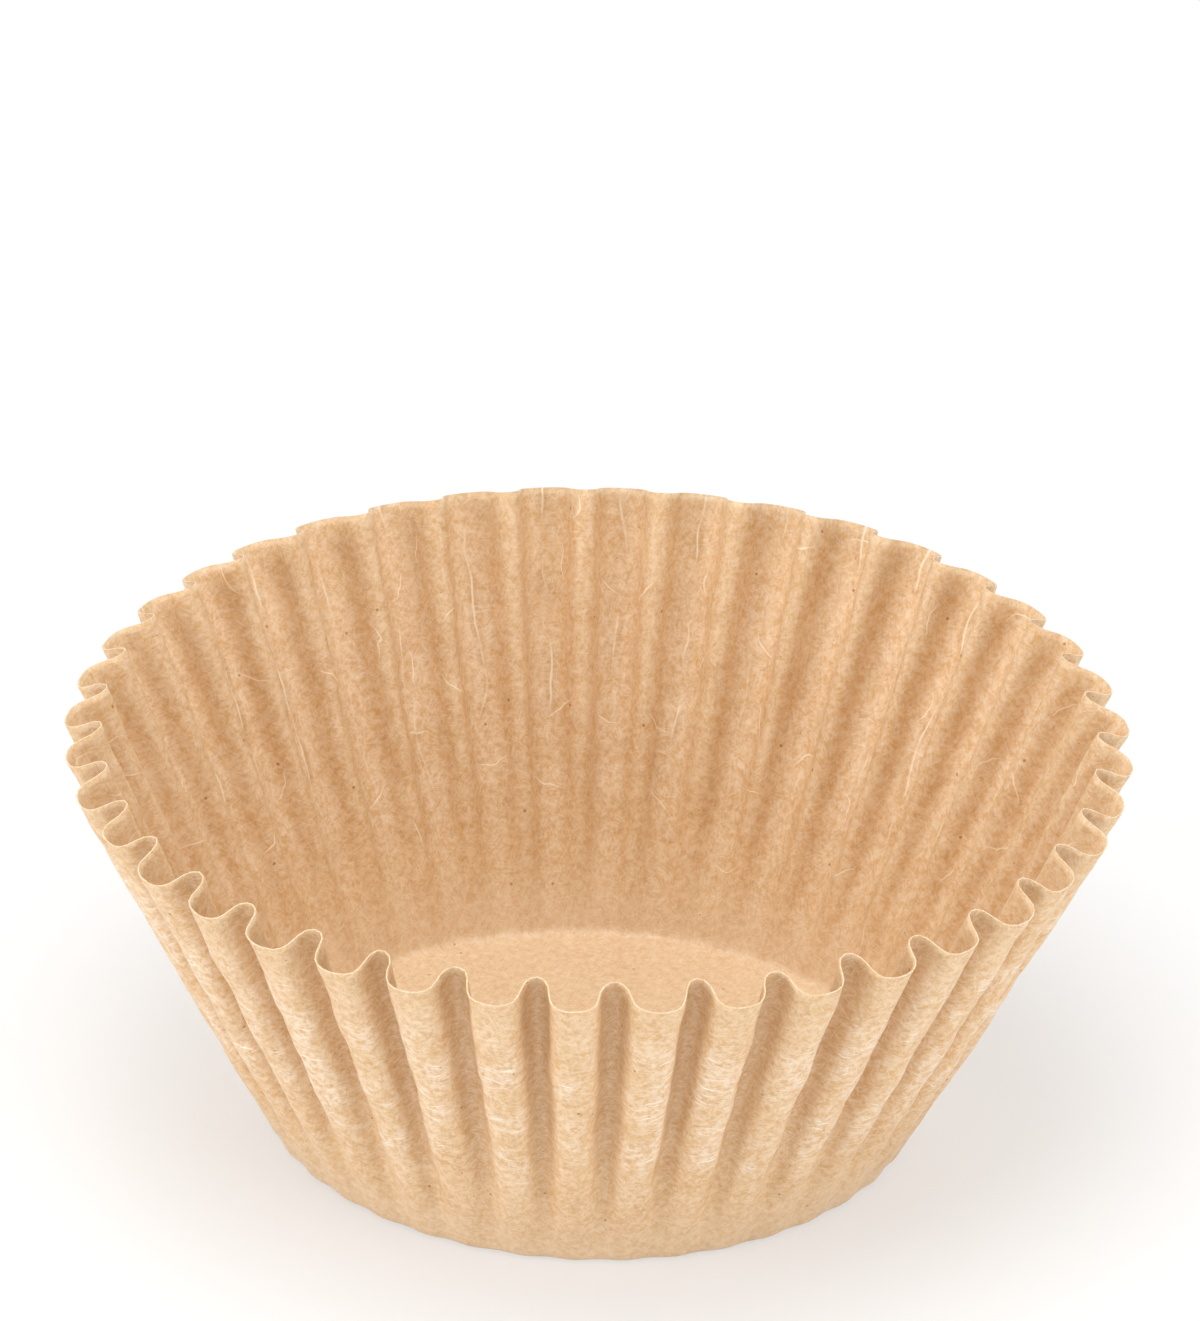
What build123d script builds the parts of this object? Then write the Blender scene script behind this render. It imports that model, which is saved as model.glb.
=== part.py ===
from build123d import *
import math
import os

# Pleated paper cupcake liner: one round of greaseproof paper pressed into a
# flat base and a fluted, flared wall. Millimetres, +Z up, the origin at the
# centre of the base underside, the middle of one outward flute at -Y.

# ---- driving dimensions ----
FLUTES = 40                 # full flutes round the wall (a multiple of 4)
BASE_DIAMETER = 50.0        # across the base at the fold line
WALL_SLANT = 35.0           # fold line to cut rim, measured up the wall
FLARE_DEG = 24.7            # wall angle away from vertical
PAPER = 0.10                # sheet thickness
FOLD_RADIUS = 0.9           # mid-sheet radius where the base turns up
LOBE_BIAS = 0.26            # outward lobes fuller than the inward ridges
CRIMP_REACH = 4.0           # height over which the flutes open from the fold

# ---- derived sizes ----
FLARE = math.radians(FLARE_DEG)
TURN = math.pi / 2 - FLARE                      # angle of the base fold
SETBACK = FOLD_RADIUS * math.tan(TURN / 2)      # fold tangent to fold line
FLAT_RADIUS = BASE_DIAMETER / 2 - SETBACK       # still-flat part of the base
FOLD_LENGTH = FOLD_RADIUS * TURN
SHEET_RUN = FOLD_LENGTH + WALL_SLANT - SETBACK  # from flat base to cut rim
COLUMNS, FINE = 14, 8                           # points per half flute, steps
FOLD_ROWS, WALL_ROWS = 6, 18                    # point rows up the sheet


def profile(s):
    """Mean wall line at sheet distance s from the flat base: r, z, normal."""
    turned = min(s, FOLD_LENGTH) / FOLD_RADIUS
    r = FLAT_RADIUS + FOLD_RADIUS * math.sin(turned)
    z = PAPER / 2 + FOLD_RADIUS * (1 - math.cos(turned))
    up = max(s - FOLD_LENGTH, 0.0)
    r += up * math.cos(turned)
    z += up * math.sin(turned)
    return r, z, math.sin(turned), -math.cos(turned)


def wave(swing):
    """Half a flute of path pi, lobe to ridge: x and w at each column.

    The sheet heading swings by `swing` radians either side of the rim
    direction, so the path keeps its length whatever the depth.
    """
    xs, ws = [0.0], [0.0]
    x = w = 0.0
    h = math.pi / (COLUMNS * FINE)
    for i in range(COLUMNS * FINE):
        u = (i + 0.5) * h
        heading = -swing * math.sin(u) + LOBE_BIAS * swing * math.sin(2 * u)
        x += math.cos(heading) * h
        w += math.sin(heading) * h
        if (i + 1) % FINE == 0:
            xs.append(x)
            ws.append(w)
    middle = (ws[0] + ws[-1]) / 2
    return xs, [w - middle for w in ws]


def swing_for(ratio):
    """Heading swing that shortens the sheet to `ratio` of its flat width."""
    low, high = 0.0, 2.2
    for _ in range(44):
        swing = (low + high) / 2
        if wave(swing)[0][-1] / math.pi > ratio:
            low = swing
        else:
            high = swing
    return (low + high) / 2


def sheet_rows(stations):
    """Mid-sheet points of half a flute, with one extra column each side."""
    rows = []
    for s in stations:
        r, z, nr, nz = profile(s)
        flat = FLAT_RADIUS + s
        xs, ws = wave(swing_for(min(r / flat, 1.0)))
        opening = 1 - math.exp(-s / CRIMP_REACH)
        stretch = (r / flat) * math.pi / xs[-1]
        row = []
        for c in range(-1, COLUMNS + 2):
            i = COLUMNS - abs(COLUMNS - abs(c))
            a = xs[i] * stretch * flat / FLUTES / r
            a = -a if c < 0 else a
            a = 2 * math.pi / FLUTES - a if c > COLUMNS else a
            w = ws[i] * opening * flat / FLUTES
            rr = r + w * nr
            row.append(Vector(rr * math.sin(a), -rr * math.cos(a), z + w * nz))
        rows.append(row)
    return rows


def skins(rows):
    """Outer and inner point grids, half the paper either side of the sheet."""
    outer, inner = [], []
    for j, row in enumerate(rows):
        below, above = rows[max(j - 1, 0)], rows[min(j + 1, len(rows) - 1)]
        out_row, in_row = [], []
        for c in range(1, COLUMNS + 2):
            around = row[c + 1] - row[c - 1]
            up = above[c] - below[c]
            n = Vector(0, 0, -1) if j == 0 else around.cross(up).normalized()
            if c == 1:                      # keep the lobe line in its plane
                n = Vector(0, n.Y, n.Z).normalized()
            if c == COLUMNS + 1:            # and the ridge line in its own
                side = Vector(math.cos(math.pi / FLUTES),
                              math.sin(math.pi / FLUTES), 0)
                n = (n - side * n.dot(side)).normalized()
            out_row.append(row[c] + n * (PAPER / 2))
            in_row.append(row[c] - n * (PAPER / 2))
        outer.append(out_row)
        inner.append(in_row)
    return outer, inner


def edge_at(face, test):
    """The one edge of the face whose two ends and middle pass the test."""
    hits = [e for e in face.edges()
            if all(test(e.position_at(t)) for t in (0.0, 0.5, 1.0))]
    return hits[0]


# ---- half a flute ----
stations = [FOLD_LENGTH * i / FOLD_ROWS for i in range(FOLD_ROWS)]
stations += [FOLD_LENGTH + (SHEET_RUN - FOLD_LENGTH) * (i / WALL_ROWS) ** 1.5
             for i in range(WALL_ROWS + 1)]
outer_points, inner_points = skins(sheet_rows(stations))
outer_half = Face.make_surface_from_array_of_points(
    outer_points, tol=0.002, min_deg=3, max_deg=6)
inner_half = Face.make_surface_from_array_of_points(
    inner_points, tol=0.002, min_deg=3, max_deg=6)

# ---- cut rim: ruled across the paper thickness ----
rim_low = min(outer_points[-1][0].Z, outer_points[-1][-1].Z) - 1.0


def at_rim(p):
    return p.Z > rim_low


outer_rim = edge_at(outer_half, at_rim)
inner_rim = edge_at(inner_half, at_rim)
rim_half = Face.make_surface_from_curves(outer_rim, inner_rim)

# ---- all the flutes, then the base disc, sewn into one solid ----
faces = []
for half in (outer_half, inner_half, rim_half):
    pair = (half, half.mirror(Plane.YZ))
    for k in range(FLUTES):
        faces += [f.rotate(Axis.Z, 360 * k / FLUTES) for f in pair]

for level, half in ((0.0, outer_half), (PAPER, inner_half)):
    arc = edge_at(half, lambda p: abs(p.Z - level) < 1e-6)
    ring = []
    for k in range(FLUTES):
        ring += [e.rotate(Axis.Z, 360 * k / FLUTES)
                 for e in (arc, arc.mirror(Plane.YZ))]
    faces.append(Face(Wire(ring)))

liner = Solid(Shell(faces))
liner.label = "liner"

os.makedirs("parts", exist_ok=True)
export_step(liner, "parts/liner.step")
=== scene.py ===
import math

import bpy
from mathutils import Matrix, Vector


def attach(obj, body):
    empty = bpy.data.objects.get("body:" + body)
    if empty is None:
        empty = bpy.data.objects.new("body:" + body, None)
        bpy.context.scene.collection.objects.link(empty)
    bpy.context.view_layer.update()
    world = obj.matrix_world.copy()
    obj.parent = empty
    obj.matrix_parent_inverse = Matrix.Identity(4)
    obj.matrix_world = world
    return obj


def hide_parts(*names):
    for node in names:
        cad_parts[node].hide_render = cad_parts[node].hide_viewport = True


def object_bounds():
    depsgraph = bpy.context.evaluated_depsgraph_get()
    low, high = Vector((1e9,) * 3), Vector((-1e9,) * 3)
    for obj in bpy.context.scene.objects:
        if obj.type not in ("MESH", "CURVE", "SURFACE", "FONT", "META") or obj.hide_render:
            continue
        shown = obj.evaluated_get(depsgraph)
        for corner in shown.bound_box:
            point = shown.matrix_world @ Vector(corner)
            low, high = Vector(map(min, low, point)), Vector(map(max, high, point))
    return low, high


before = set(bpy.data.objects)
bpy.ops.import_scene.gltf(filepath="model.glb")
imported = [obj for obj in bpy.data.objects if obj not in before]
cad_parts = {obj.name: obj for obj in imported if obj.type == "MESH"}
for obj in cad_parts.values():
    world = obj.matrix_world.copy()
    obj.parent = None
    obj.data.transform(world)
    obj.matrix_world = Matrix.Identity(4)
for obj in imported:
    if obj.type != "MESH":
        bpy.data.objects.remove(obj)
cad_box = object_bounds()

# ---------------------------------------------------------------- the liner
# One round of unbleached greaseproof paper, pressed between two fluted dies into
# a flat base and a flared wall. The sheet doesn't stretch: its spare width at
# each height goes into the depth of the flutes, which die out at the base fold.
FLUTES = 40
BASE_RADIUS = 0.025                 # to the fold line
WALL_SLANT = 0.035                  # fold line to cut rim, up the slope
FLARE = math.radians(24.7)          # wall from vertical
FOLD_RADIUS = 0.0009
PAPER = 0.0001
CRIMP_REACH = 0.004                 # height over which the flutes open
FULLNESS = 0.26                     # outward lobes rounder than the inward ridges
SCALLOP = 0.00014                   # how far the flutes nip the base's edge in and out
SCALLOP_REACH = 0.0018              # how far up the wall the nips fade
SCALLOP_START = 6.0                 # how late they start across the base
UNEVEN_RIM, UNEVEN_DEPTH = 0.006, 0.07         # shares of the slant and of the flute depth
UNEVEN_PITCH = 0.30                 # radians of a flute
OUT_OF_ROUND = 0.012                # share of the height up the slope
DENT_DEPTH, DENT_WIDTH = 0.00075, 4.5          # m and mm
DENT_START = 0.06                   # m of dent to a metre up the wall, until it is full depth
POINTS_PER_FLUTE = 16
BASE_RINGS, WALL_RINGS = 7, 68
RING_SPREAD = 1.2                   # rings closer together near the fold
SEED = 11.0
MM = 1000.0                         # patterns are sized in millimetres
SOFT = {"interpolation_type": "SMOOTHSTEP"}    # a range with soft ends
STRETCH_COMES, STRETCH_GOES = (6.0, 15.0), (34.0, 27.0)    # mm up the wall
CREASES_COME = (9.0, 20.0)          # mm up the wall


def add(kind, *inputs, into=None, **settings):
    """Adds one node to the current tree: "Type" or "Type OPERATION", its inputs in
    order or by name, and its settings. A node given as an input is linked by its
    first output. A sum, product or maximum of more than two is built in pairs."""
    kind, _, operation = kind.partition(" ")
    if operation in ("ADD", "MULTIPLY", "MAXIMUM") and len(inputs) > 2:
        inputs = (add(f"{kind} {operation}", *inputs[:-1]), inputs[-1])
    made = tree.nodes.new(kind)
    if operation:
        made.operation = operation
    for name, value in settings.items():
        setattr(made, name, value)
    for name, value in [*enumerate(inputs), *(into or {}).items()]:
        value = value.outputs[0] if isinstance(value, bpy.types.Node) else value
        if isinstance(value, bpy.types.NodeSocket):
            tree.links.new(value, made.inputs[name])
        elif value is not None:
            made.inputs[name].default_value = value
    return made


def linear(code):
    """An sRGB hex colour as linear RGBA."""
    parts = [int(code[i:i + 2], 16) / 255 for i in (1, 3, 5)]
    return [c / 12.92 if c <= 0.04045 else ((c + 0.055) / 1.055) ** 2.4 for c in parts] + [1.0]


tree = bpy.data.node_groups.new("pressed_liner", "GeometryNodeTree")
sizes = {
    "Flutes": FLUTES, "Points per flute": POINTS_PER_FLUTE, "Base rings": BASE_RINGS,
    "Wall rings": WALL_RINGS, "Base radius": BASE_RADIUS, "Wall slant": WALL_SLANT,
    "Flare": FLARE, "Fold radius": FOLD_RADIUS, "Paper": PAPER, "Crimp reach": CRIMP_REACH,
    "Fullness": FULLNESS, "Scallop": SCALLOP, "Dent depth": DENT_DEPTH, "Seed": SEED,
}
for name, value in sizes.items():
    kind = "NodeSocketInt" if isinstance(value, int) else "NodeSocketFloat"
    tree.interface.new_socket(name, in_out="INPUT", socket_type=kind)
tree.interface.new_socket("Geometry", in_out="OUTPUT", socket_type="NodeSocketGeometry")
given = add("NodeGroupInput").outputs

# the flat grid: across it is the turn round the cup, up it is the way from centre to rim
columns = add("ShaderNodeMath MULTIPLY", given["Flutes"], given["Points per flute"])
rings = add("ShaderNodeMath ADD", given["Base rings"], given["Wall rings"])
grid = add("GeometryNodeMeshGrid", 1.0, 1.0, add("ShaderNodeMath ADD", columns, 1.0),
           add("ShaderNodeMath ADD", rings, 1.0))
place = add("ShaderNodeSeparateXYZ", grid.outputs["UV Map"])
turn = add("ShaderNodeMath MULTIPLY", place.outputs["X"], 2 * math.pi)
ring = add("ShaderNodeMath MULTIPLY", place.outputs["Y"], rings)
cos_turn = add("ShaderNodeMath COSINE", turn)
sin_turn = add("ShaderNodeMath SINE", turn)


def wander(size, lane, rise=0.0):
    """Smooth unevenness round the cup, about -1 to 1, `size` swings to a radian."""
    round_it = add("ShaderNodeCombineXYZ", add("ShaderNodeMath MULTIPLY", cos_turn, size),
                   add("ShaderNodeMath MULTIPLY", sin_turn, size),
                   add("ShaderNodeMath MULTIPLY", place.outputs["Y"], rise))
    swings = add("ShaderNodeTexNoise", noise_dimensions="4D", into={
        "Vector": round_it, "W": add("ShaderNodeMath ADD", given["Seed"], lane),
        "Scale": 1.0, "Detail": 1.0})
    return add("ShaderNodeMath MULTIPLY_ADD", swings, 4.0, -2.0)


# distances on the flat round: the flat of the base, then the fold, then the slope
lean_back = add("ShaderNodeMath SUBTRACT", math.pi / 2, given["Flare"])
fold_run = add("ShaderNodeMath MULTIPLY", given["Fold radius"], lean_back)
setback = add("ShaderNodeMath MULTIPLY", given["Fold radius"], add(
    "ShaderNodeMath TANGENT", add("ShaderNodeMath MULTIPLY", lean_back, 0.5)))
flat = add("ShaderNodeMath SUBTRACT", given["Base radius"], setback)
run = add("ShaderNodeMath ADD", given["Wall slant"], add("ShaderNodeMath SUBTRACT", fold_run, setback))
uneven_run = add("ShaderNodeMath MULTIPLY", run, add(
    "ShaderNodeMath MULTIPLY_ADD", wander(0.9, 1.0), UNEVEN_RIM, 1.0))
on_base = add("ShaderNodeMath MINIMUM", add("ShaderNodeMath DIVIDE", ring, given["Base rings"]), 1.0)
on_wall = add("ShaderNodeMath DIVIDE", add("ShaderNodeMath MAXIMUM", add(
    "ShaderNodeMath SUBTRACT", ring, given["Base rings"]), 0.0), given["Wall rings"])
up_sheet = add("ShaderNodeMath MULTIPLY", uneven_run, add("ShaderNodeMath POWER", on_wall, RING_SPREAD))
blank = add("ShaderNodeMath MULTIPLY_ADD", flat, on_base, up_sheet)

# the mean wall line: radius and height at that distance, and which way it faces
bend = add("ShaderNodeMath DIVIDE", add("ShaderNodeMath MINIMUM", up_sheet, fold_run), given["Fold radius"])
face_out = add("ShaderNodeMath SINE", bend)
face_down = add("ShaderNodeMath COSINE", bend)
slope = add("ShaderNodeMath MAXIMUM", add("ShaderNodeMath SUBTRACT", up_sheet, fold_run), 0.0)
radius = add("ShaderNodeMath MULTIPLY_ADD", given["Fold radius"], face_out, add(
    "ShaderNodeMath MULTIPLY_ADD", slope, face_down, add("ShaderNodeMath SUBTRACT", blank, up_sheet)))
height = add("ShaderNodeMath MULTIPLY_ADD", slope, face_out, add(
    "ShaderNodeMath MULTIPLY", given["Fold radius"], add("ShaderNodeMath SUBTRACT", 1.0, face_down)))

# The sheet's heading swings to and fro along a flute, far enough to use up the spare width.
# The spare share is 1 - J0(swing), and the flute's shape follows from J1 and J2, so all
# three are short series in a quarter of the swing's square.
spare = add("ShaderNodeMath SUBTRACT", 1.0, add("ShaderNodeMath DIVIDE", radius, add(
    "ShaderNodeMath MAXIMUM", blank, 1e-6)))
quarter_square = add("ShaderNodeMath MULTIPLY", spare, add("ShaderNodeMath MULTIPLY_ADD", spare, 0.28, 1.0))
half_swing = add("ShaderNodeMath SQRT", add("ShaderNodeMath MAXIMUM", quarter_square, 0.0))
twice_j1 = add("ShaderNodeMath MULTIPLY", half_swing, 2.0, add(
    "ShaderNodeMath MULTIPLY_ADD", quarter_square, -0.46, 1.0))
j2 = add("ShaderNodeMath MULTIPLY", quarter_square, 0.5, add(
    "ShaderNodeMath MULTIPLY_ADD", quarter_square, -0.33, 1.0))
opening = add("ShaderNodeMath SUBTRACT", 1.0, add("ShaderNodeMath EXPONENT", add(
    "ShaderNodeMath DIVIDE", add("ShaderNodeMath MULTIPLY", up_sheet, -1.0), given["Crimp reach"])))
pitch = add("ShaderNodeMath DIVIDE", blank, given["Flutes"])
depth = add("ShaderNodeMath MULTIPLY", twice_j1, pitch, opening, add(
    "ShaderNodeMath MULTIPLY_ADD", wander(5.0, 2.0, 0.8), UNEVEN_DEPTH, 1.0))
bias = add("ShaderNodeMath MULTIPLY", given["Fullness"], half_swing, opening)

# the pleats: where in its flute each point lies, and how far off the mean line
phase = add("ShaderNodeMath MULTIPLY_ADD", turn, given["Flutes"], add(
    "ShaderNodeMath MULTIPLY", wander(4.0, 3.0, 0.5), UNEVEN_PITCH))
crest = add("ShaderNodeMath COSINE", phase)
flank = add("ShaderNodeMath SINE", phase)
twice = add("ShaderNodeMath MULTIPLY", phase, 2.0)
thrice = add("ShaderNodeMath MULTIPLY", phase, 3.0)
off = add("ShaderNodeMath MULTIPLY_ADD", depth, crest, add("ShaderNodeMath MULTIPLY", bias, pitch, add(
    "ShaderNodeMath SUBTRACT", 1.0, add("ShaderNodeMath COSINE", twice))))
sway = add("ShaderNodeMath MULTIPLY_ADD", j2, add("ShaderNodeMath SINE", twice), add(
    "ShaderNodeMath MULTIPLY", bias, twice_j1, add(
        "ShaderNodeMath MULTIPLY_ADD", add("ShaderNodeMath SINE", thrice), -1 / 3, flank)))
angle = add("ShaderNodeMath MULTIPLY_ADD", sway, add("ShaderNodeMath DIVIDE", pitch, add(
    "ShaderNodeMath MAXIMUM", radius, 1e-6)), turn)
not_round = add("ShaderNodeMath MULTIPLY", wander(0.8, 4.0), OUT_OF_ROUND, slope)
scalloped = add("ShaderNodeMath MULTIPLY", given["Scallop"], crest, add(
    "ShaderNodeMath POWER", on_base, SCALLOP_START), add(
        "ShaderNodeMath EXPONENT", add("ShaderNodeMath DIVIDE", up_sheet, -SCALLOP_REACH)))
lie = add("ShaderNodeMath ADD", not_round, scalloped, add(
    "ShaderNodeMath MULTIPLY_ADD", off, face_out, radius))
rise = add("ShaderNodeMath MULTIPLY_ADD", add("ShaderNodeMath MULTIPLY", off, face_down), -1.0, height)
formed = add("GeometryNodeSetPosition", grid, None, add(
    "ShaderNodeCombineXYZ", add("ShaderNodeMath MULTIPLY", lie, add("ShaderNodeMath COSINE", angle)),
    add("ShaderNodeMath MULTIPLY", lie, add("ShaderNodeMath SINE", angle)), rise))

# the place on the flat round and up the wall, in millimetres
on_round = add("ShaderNodeCombineXYZ", add("ShaderNodeMath MULTIPLY", blank, cos_turn),
               add("ShaderNodeMath MULTIPLY", blank, sin_turn), 0.0)
sheet_mm = add("ShaderNodeVectorMath SCALE", on_round, into={"Scale": MM})
up_mm = add("ShaderNodeMath MULTIPLY", up_sheet, MM)


def drift(lane, width, octaves):
    """Slow unevenness over the flat round, 0 to 1, in patches `width` mm wide."""
    return add("ShaderNodeTexNoise", noise_dimensions="4D", into={
        "Vector": sheet_mm, "W": add("ShaderNodeMath ADD", given["Seed"], lane),
        "Scale": 1.0 / width, "Detail": octaves - 1.0, "Roughness": 0.55})


# Kept at the points for the paper's patterns: how far fibres stray from straight and creases
# from their valley, in millimetres, and how cloudy, stretched and creased the sheet is there.
# Stretch marks come halfway up the outward lobes, and creases come down from the rim.
stray = add("ShaderNodeCombineXYZ",
            add("ShaderNodeMath MULTIPLY_ADD", drift(4.0, 2.0, 2), 2.0, -1.0),
            add("ShaderNodeMath MULTIPLY_ADD", drift(5.0, 2.0, 2), 2.0, -1.0),
            add("ShaderNodeMath MULTIPLY_ADD", drift(9.0, 7.7, 3), 4.0, -2.0))
cloudy = add("ShaderNodeMapRange", drift(6.0, 3.3, 3), 0.30, 0.70, **SOFT)
stretched = add("ShaderNodeMath MULTIPLY",
                add("ShaderNodeMapRange", drift(7.0, 3.3, 2), 0.40, 0.60, **SOFT),
                add("ShaderNodeMapRange", up_mm, *STRETCH_COMES, **SOFT),
                add("ShaderNodeMapRange", up_mm, *STRETCH_GOES, **SOFT),
                add("ShaderNodeMapRange", crest, -0.5, 0.5, 0.10, 1.0, **SOFT))
creased = add("ShaderNodeMath MULTIPLY",
              add("ShaderNodeMapRange", drift(8.0, 4.5, 3), 0.44, 0.60, **SOFT),
              add("ShaderNodeMapRange", up_mm, *CREASES_COME, **SOFT))
in_flute = add("ShaderNodeCombineXYZ", crest, flank, up_mm)
wear = add("ShaderNodeCombineXYZ", cloudy, stretched, creased)
kept = formed
for name, value in (("sheet", sheet_mm), ("flute", in_flute), ("stray", stray), ("wear", wear)):
    kept = add("GeometryNodeStoreNamedAttribute", kept, None, name, value,
               data_type="FLOAT_VECTOR", domain="POINT")
closed = add("GeometryNodeMergeByDistance", kept, None, 1e-6)

# soft dents that pressing leaves, then half the paper inwards and the base down to the table
dent = add("ShaderNodeMath MULTIPLY", add("ShaderNodeMath SUBTRACT", drift(0.0, DENT_WIDTH, 4), 0.5), add(
    "ShaderNodeMath MINIMUM", add("ShaderNodeMath MULTIPLY", up_sheet, DENT_START), given["Dent depth"]))
inward = add("ShaderNodeMath MULTIPLY_ADD", given["Paper"], -0.5, dent)
sheet = add("GeometryNodeSetPosition", closed, None, None, add(
    "ShaderNodeVectorMath SCALE", add("GeometryNodeInputNormal"), into={"Scale": inward}))
lifted = add("GeometryNodeSetPosition", sheet, None, None, add(
    "ShaderNodeCombineXYZ", 0.0, 0.0, add("ShaderNodeMath MULTIPLY", given["Paper"], 0.5)))

# two skins and the cut edge between them
inner = add("GeometryNodeStoreNamedAttribute", lifted, None, "inner", 1.0,
            data_type="FLOAT", domain="POINT")
thick = add("GeometryNodeExtrudeMesh", inner, mode="FACES", into={
    "Offset Scale": given["Paper"], "Individual": False})
outer = add("GeometryNodeStoreNamedAttribute", thick, thick.outputs["Top"], "inner", 0.0,
            data_type="FLOAT", domain="POINT")
both = add("GeometryNodeJoinGeometry", outer)
tree.links.new(add("GeometryNodeFlipFaces", inner).outputs[0], both.inputs[0])
sewn = add("GeometryNodeMergeByDistance", both, None, 1e-7)
smooth = add("GeometryNodeSetShadeSmooth", sewn, None, True)
crisp = add("GeometryNodeSetShadeSmooth", smooth, thick.outputs["Side"], False)
real = add("GeometryNodeRealizeInstances", crisp)
paper_material = bpy.data.materials.new("greaseproof_kraft_calendered")
edge_material = bpy.data.materials.new("greaseproof_kraft_cut_edge")
in_paper = add("GeometryNodeSetMaterial", real, None, paper_material)
in_edge = add("GeometryNodeSetMaterial", in_paper, thick.outputs["Side"], edge_material)
add("NodeGroupOutput", in_edge)

maker = bpy.data.objects.new("liner_maker", bpy.data.meshes.new("liner_maker"))
bpy.context.scene.collection.objects.link(maker)
modifier = maker.modifiers.new("pressed_liner", "NODES")
modifier.node_group = tree
for item in tree.interface.items_tree:
    if item.in_out == "INPUT":
        modifier[item.identifier] = sizes[item.name]
pressed = maker.evaluated_get(bpy.context.evaluated_depsgraph_get())
mesh = bpy.data.meshes.new_from_object(pressed)
mesh.name = "liner_paper"
liner = bpy.data.objects.new("liner_paper", mesh)
bpy.context.scene.collection.objects.link(liner)
bpy.data.objects.remove(maker)

# Greaseproof kraft, calendered: tan and satin at best, with pale and brown fibres about a
# millimetre long, a cloudy make-up, and white marks where pressing has broken the sheet.
TAN, SAND, PALE, BROWN, WHITE = "#D5A871", "#E5C294", "#F7E5CA", "#A87440", "#FDF6EB"
FIBRE_LENGTH, FIBRE_WIDTH = 1.1, 0.17          # mm; real fibres are a tenth as wide
FIBRE_RELIEF, CREASE_RELIEF = 0.008, 0.16      # mm
CREASE_WIDTH, PINCH_WIDTH = 0.13, 0.60         # mm to each side: the pale line, the fold under it
# the second range is where the painted shade in the outside grooves fades in
CRINKLES_COME, GROOVE_SHADE_COMES, PALER_NEAR_BASE_GOES = (2.0, 8.0), (3.0, 20.0), (8.0, 1.0)    # mm up the wall
CLOUDED, WELL_PRESSED = 0.52, 0.42             # roughness
PAPER_IOR = 1.47
EDGE_ROUGHNESS = 0.9

paper_material.use_nodes = True
tree = paper_material.node_tree
tree.nodes.clear()
on_sheet = add("ShaderNodeAttribute", attribute_name="sheet").outputs["Vector"]
stray = add("ShaderNodeAttribute", attribute_name="stray").outputs["Vector"]
in_flute = add("ShaderNodeSeparateXYZ", add("ShaderNodeAttribute", attribute_name="flute").outputs["Vector"])
crest, flank, up_mm = in_flute.outputs
wear = add("ShaderNodeSeparateXYZ", add("ShaderNodeAttribute", attribute_name="wear").outputs["Vector"])
cloudy, stretched, creased = wear.outputs
inside = add("ShaderNodeAttribute", attribute_name="inner").outputs["Fac"]
from_middle = add("ShaderNodeVectorMath LENGTH", on_sheet).outputs["Value"]
out_way = add("ShaderNodeVectorMath NORMALIZE", on_sheet)
round_way = add("ShaderNodeVectorMath CROSS_PRODUCT", (0, 0, 1), out_way)
curled = add("ShaderNodeVectorMath ADD", on_sheet, stray)


def patches(lane, width, octaves, rough, low, high, place=on_sheet):
    """Soft-edged patches `width` mm wide, with a pattern of their own in each lane."""
    moved = add("ShaderNodeVectorMath ADD", place, (SEED + lane * 31.7, lane * 13.1, 0))
    return add("ShaderNodeMapRange", add("ShaderNodeTexNoise", moved, noise_dimensions="2D", into={
        "Scale": 1.0 / width, "Detail": octaves - 1.0, "Roughness": rough}), low, high, **SOFT)


def fibres(degrees, low, high):
    """Curled fibres that lie about one way in the sheet."""
    along = add("ShaderNodeMapping", curled, None, (0, 0, math.radians(degrees)),
                (FIBRE_LENGTH, FIBRE_WIDTH, 1.0), vector_type="TEXTURE")
    return patches(degrees, 1.0, 1, 0.5, low, high, along)


def strokes(lane, spacing, reach, thick, bow, tilt, share):
    """Short bowed lines, level but for a random tilt within `tilt` radians, one in a
    `share` of the cells `spacing` mm apart, `reach` mm to each side and `thick` mm thick."""
    place = add("ShaderNodeVectorMath ADD", curled, (SEED + lane * 17.3, lane * 29.9, 0))
    cell = add("ShaderNodeTexVoronoi", place, voronoi_dimensions="2D", into={"Scale": 1.0 / spacing})
    chance = add("ShaderNodeSeparateColor", cell.outputs["Color"])
    apart = add("ShaderNodeVectorMath SUBTRACT", place, cell.outputs["Position"])
    level = add("ShaderNodeCombineXYZ",
                add("ShaderNodeVectorMath DOT_PRODUCT", apart, round_way).outputs["Value"],
                add("ShaderNodeVectorMath DOT_PRODUCT", apart, out_way).outputs["Value"], 0.0)
    tilted = add("ShaderNodeSeparateXYZ", add("ShaderNodeVectorRotate", level, rotation_type="Z_AXIS", into={
        "Angle": add("ShaderNodeMath MULTIPLY_ADD", chance.outputs["Red"], tilt, -0.5 * tilt)}))
    along = add("ShaderNodeMath MULTIPLY", tilted.outputs["X"], tilted.outputs["X"])
    across = add("ShaderNodeMath ABSOLUTE", add(
        "ShaderNodeMath MULTIPLY_ADD", along, -bow, tilted.outputs["Y"]))
    near = add("ShaderNodeMath MULTIPLY_ADD", along, -1.0 / reach ** 2, add(
        "ShaderNodeMath MULTIPLY_ADD", across, -2.0 / thick, 1.0))
    return add("ShaderNodeMath MULTIPLY", add("ShaderNodeMapRange", near, 0.0, 0.7, **SOFT),
               add("ShaderNodeMath LESS_THAN", chance.outputs["Green"], share))


mottle = patches(3, 0.67, 3, 0.72, 0.24, 0.76)
pale_fibre = add("ShaderNodeMath MAXIMUM", fibres(12, 0.45, 0.85), fibres(131, 0.45, 0.85))
brown_fibre = fibres(71, 0.50, 0.90)
speck = patches(6, 0.59, 1, 0.5, 0.91, 0.94)

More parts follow.
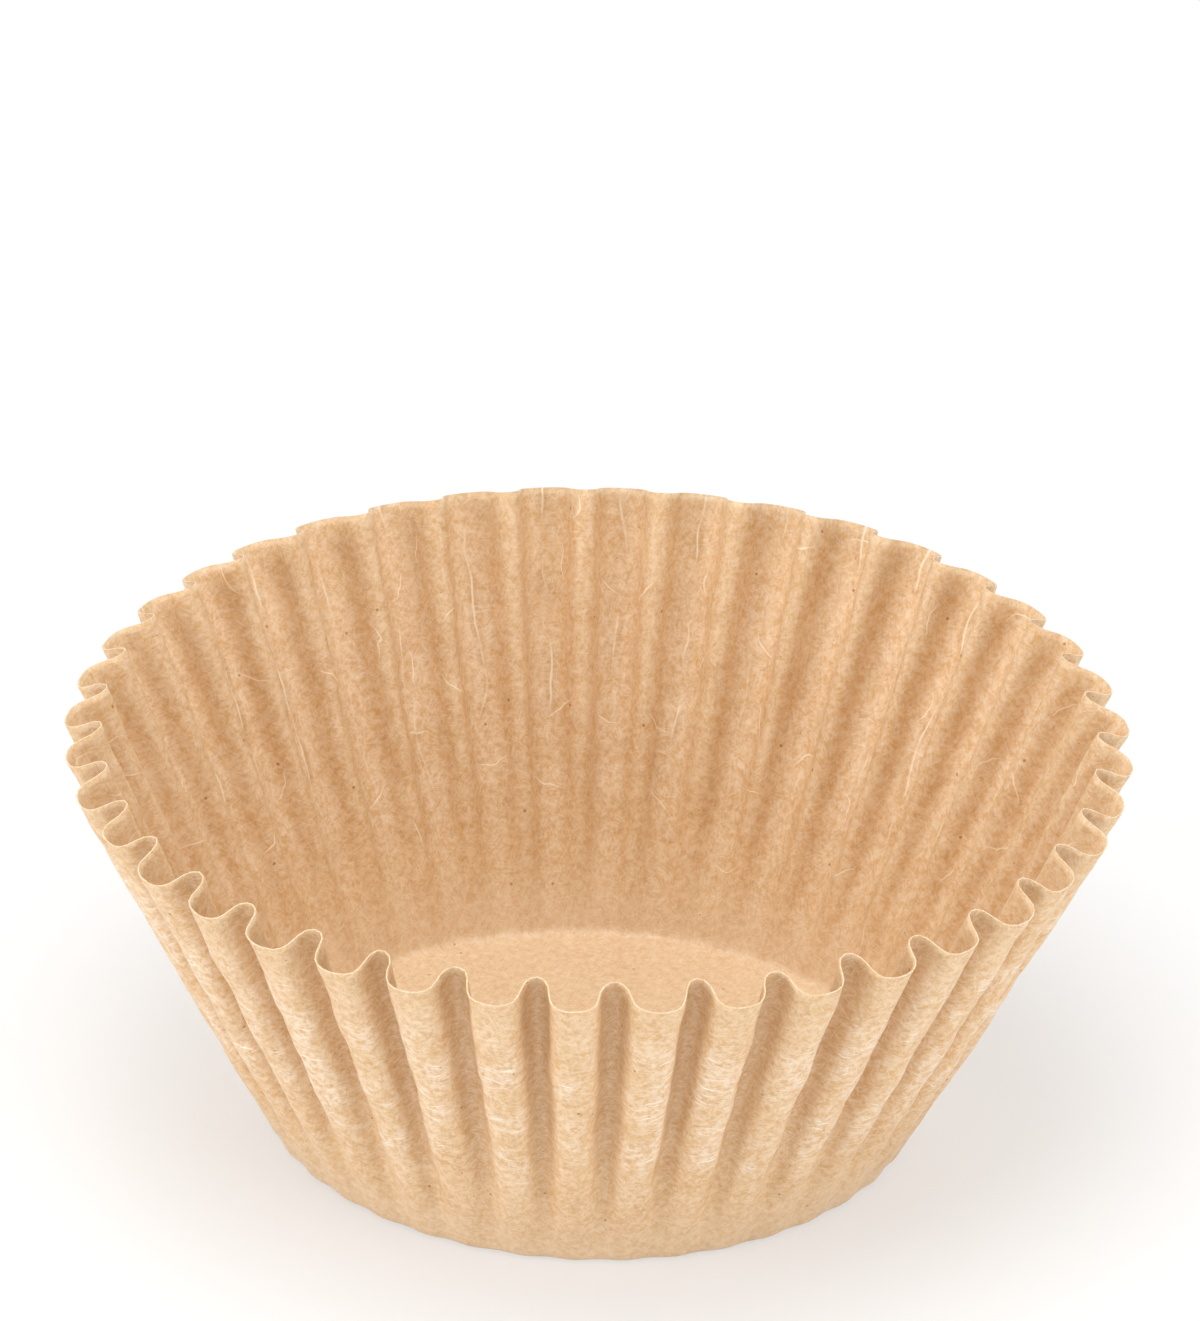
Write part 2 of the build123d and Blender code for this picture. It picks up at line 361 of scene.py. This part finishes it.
# stretch marks: long and short white lines in a faint haze, weaker on the inside
arcs = add("ShaderNodeMath MAXIMUM",
           strokes(lane=1, spacing=1.9, reach=1.1, thick=0.20, bow=-0.15, tilt=0.5, share=0.6),
           add("ShaderNodeMath MULTIPLY", 0.8, strokes(
               lane=2, spacing=1.0, reach=0.6, thick=0.15, bow=-0.2, tilt=0.8, share=0.5)),
           add("ShaderNodeMath MULTIPLY", mottle, 0.35))
stretch = add("ShaderNodeMath MULTIPLY", arcs, stretched, add(
    "ShaderNodeMapRange", inside, 0.0, 1.0, 1.0, 0.3))

# pale creases down the valleys inside, wandering and broken, their pale line a painted highlight on the
# fold, and stray pale crinkles between
off_valley = add("ShaderNodeMath ABSOLUTE", add(
    "ShaderNodeMath MULTIPLY_ADD", add("ShaderNodeMath ARCTAN2", flank, crest),
    add("ShaderNodeMath MULTIPLY", from_middle, 1.0 / FLUTES),
    add("ShaderNodeSeparateXYZ", stray).outputs["Z"]))
broken = add("ShaderNodeMath MULTIPLY", creased, add("ShaderNodeMapRange", inside, 0.0, 1.0, 0.1, 1.0))
crease_highlight = add("ShaderNodeMath MULTIPLY", broken, add(
    "ShaderNodeMapRange", off_valley, CREASE_WIDTH, 0.02, **SOFT))
pinch = add("ShaderNodeMath MULTIPLY", broken, add(
    "ShaderNodeMapRange", off_valley, PINCH_WIDTH, 0.0, **SOFT))
crinkle = add("ShaderNodeMath MULTIPLY",
              strokes(lane=4, spacing=5.5, reach=1.7, thick=0.18, bow=0.16, tilt=2 * math.pi, share=0.5),
              add("ShaderNodeMapRange", up_mm, *CRINKLES_COME, **SOFT),
              add("ShaderNodeMapRange", inside, 0.0, 1.0, 0.15, 1.0))
crease_highlight_and_crinkles = add("ShaderNodeMath MAXIMUM", crease_highlight, crinkle)

# painted shade: the grooves outside are painted a shade darker, standing in for the shadow between the lobes
painted_groove_shade = add("ShaderNodeMath MULTIPLY", add("ShaderNodeMapRange", crest, 0.2, -0.7, **SOFT),
                add("ShaderNodeMapRange", up_mm, *GROOVE_SHADE_COMES, **SOFT),
                add("ShaderNodeMath SUBTRACT", 1.0, inside))

# the base and its fold are paler, and the paleness fades out by 8 mm up the wall
paler_near_base = add("ShaderNodeMapRange", up_mm, *PALER_NEAR_BASE_GOES, **SOFT)

colour = linear(TAN)
for shade, amount, weight in ((SAND, cloudy, 0.50), (PALE, mottle, 0.42), (BROWN, painted_groove_shade, 0.30),
                              (PALE, pale_fibre, 0.26), (BROWN, brown_fibre, 0.20), (BROWN, speck, 0.80),
                              (PALE, paler_near_base, 0.22), (WHITE, stretch, 0.85), (PALE, crease_highlight_and_crinkles, 0.85)):
    colour = add("ShaderNodeMix", data_type="RGBA", into={
        0: add("ShaderNodeMath MULTIPLY", amount, weight), 6: colour, 7: linear(shade)}).outputs[2]

# relief in millimetres: fibres stand a little proud of the sheet, and creases more so
relief = add("ShaderNodeMath MULTIPLY_ADD", pinch, CREASE_RELIEF, add(
    "ShaderNodeMath MULTIPLY", pale_fibre, FIBRE_RELIEF))
bump = add("ShaderNodeBump", into={"Strength": 1.0, "Distance": 1.0 / MM, "Height": relief})
surface = add("ShaderNodeBsdfPrincipled", colour, into={
    "Roughness": add("ShaderNodeMapRange", mottle, 0.0, 1.0, CLOUDED, WELL_PRESSED),
    "IOR": PAPER_IOR, "Normal": bump})
add("ShaderNodeOutputMaterial", surface)

# The cut edge shows torn fibre ends, so it is paler than the faces and has no sheen.
edge_material.use_nodes = True
tree = edge_material.node_tree
tree.nodes.clear()
place = add("ShaderNodeTexCoord").outputs["Object"]
ends = add("ShaderNodeTexNoise", place, into={"Scale": MM / FIBRE_WIDTH, "Detail": 1.0})
edge_colour = add("ShaderNodeMix", data_type="RGBA", into={
    0: add("ShaderNodeMapRange", ends, 0.3, 0.7), 6: linear(SAND), 7: linear(PALE)}).outputs[2]
add("ShaderNodeOutputMaterial", add("ShaderNodeBsdfPrincipled", edge_colour, into={
    "Roughness": EDGE_ROUGHNESS}))

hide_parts("liner")
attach(liner, "root")

# ---------------------------------------------------------------- floor, lights, camera
# A plain white floor, a softbox overhead, one low at each side, in front and behind, and
# weaker white all round, so that the lobes stand bright from the grooves between them.
FLOOR_HALF = 0.6
FLOOR_GAP = 0.00002                 # below the paper, so that the two don't meet
FLOOR_WHITE = 0.93
WHITENED = 0.5                      # the share by which its shadows are lightened to the eye
WORLD_LIGHT = 0.30
FLOOR_ROUGHNESS = 0.9
PURE_WHITE = (1.0, 1.0, 1.0, 1.0)

floor_mesh = bpy.data.meshes.new("floor")
corners = [(x * FLOOR_HALF, y * FLOOR_HALF, 0) for x, y in ((-1, -1), (1, -1), (1, 1), (-1, 1))]
floor_mesh.from_pydata(corners, [], [(0, 1, 2, 3)])
floor = bpy.data.objects.new("floor", floor_mesh)
bpy.context.scene.collection.objects.link(floor)
floor.location.z = cad_box[0].z - FLOOR_GAP
floor_material = bpy.data.materials.new("matte_white_board")
floor_material.use_nodes = True
tree = floor_material.node_tree
tree.nodes.clear()
board = add("ShaderNodeBsdfPrincipled", (FLOOR_WHITE, FLOOR_WHITE, FLOOR_WHITE, 1.0), into={
    "Roughness": FLOOR_ROUGHNESS})
path = add("ShaderNodeLightPath")
seen = add("ShaderNodeMath MAXIMUM", path.outputs["Is Camera Ray"], path.outputs["Is Glossy Ray"],
           path.outputs["Is Transmission Ray"])
whitened = add("ShaderNodeMixShader", add("ShaderNodeMath MULTIPLY", seen, WHITENED), board,
               add("ShaderNodeEmission", PURE_WHITE, 1.0))
add("ShaderNodeOutputMaterial", whitened)
floor_mesh.materials.append(floor_material)

world = bpy.data.worlds.new("white_studio")
bpy.context.scene.world = world
world.use_nodes = True
tree = world.node_tree
tree.nodes.clear()
path = add("ShaderNodeLightPath")
seen = add("ShaderNodeMath MAXIMUM", path.outputs["Is Camera Ray"], path.outputs["Is Glossy Ray"],
           path.outputs["Is Transmission Ray"])
strength = add("ShaderNodeMix", data_type="FLOAT", into={0: seen, 2: WORLD_LIGHT, 3: 1.0})
add("ShaderNodeOutputWorld", add("ShaderNodeBackground", PURE_WHITE, strength))

for name, place, size, power in (("top_softbox", (-0.10, -0.10, 1.10), 0.8, 8.5),
                                 ("left_softbox", (-0.92, -0.50, 0.20), 0.8, 6.6),
                                 ("right_softbox", (0.92, -0.50, 0.20), 0.8, 5.6),
                                 ("front_softbox", (0.0, -1.10, 0.06), 0.6, 1.8),
                                 ("back_softbox", (0.20, 1.10, 0.40), 0.8, 3.0)):
    lamp = bpy.data.lights.new(name, "AREA")
    lamp.size, lamp.energy = size, power
    softbox = bpy.data.objects.new(name, lamp)
    bpy.context.scene.collection.objects.link(softbox)
    softbox.location = place
    softbox.rotation_euler = (Vector((0, 0, 0.02)) - Vector(place)).to_track_quat("-Z", "Y").to_euler()

# The camera stands well back with a long lens, so the flutes keep their width from side to side.
AIM = Vector((0, 0, 0.0313))        # just under the rim's middle
DISTANCE = 1.5
LENS, SENSOR = 533.7, 36.0
SIDE, UP, ROLL = math.radians(1.70), math.radians(29.38), math.radians(1.88)
HEADROOM = 0.00634                  # how far above the aim the middle of the view lies
back = Vector((math.sin(SIDE) * math.cos(UP), -math.cos(SIDE) * math.cos(UP), math.sin(UP)))
right = Vector((math.cos(SIDE), math.sin(SIDE), 0))
above = back.cross(right)
rolled_up = above * math.cos(ROLL) - right * math.sin(ROLL)
eye = AIM + back * DISTANCE
look = (AIM + rolled_up * HEADROOM - eye).normalized()
screen_right = look.cross(rolled_up).normalized()
screen_up = screen_right.cross(look)
camera_data = bpy.data.cameras.new("camera")
camera_data.lens = LENS
camera_data.sensor_width = SENSOR
camera_data.clip_end = 10.0
camera = bpy.data.objects.new("camera", camera_data)
bpy.context.scene.collection.objects.link(camera)
facing = Matrix((screen_right, screen_up, -look)).transposed().to_4x4()
camera.matrix_world = Matrix.Translation(eye) @ facing
bpy.context.scene.camera = camera
bpy.context.scene.view_settings.view_transform = "Standard"
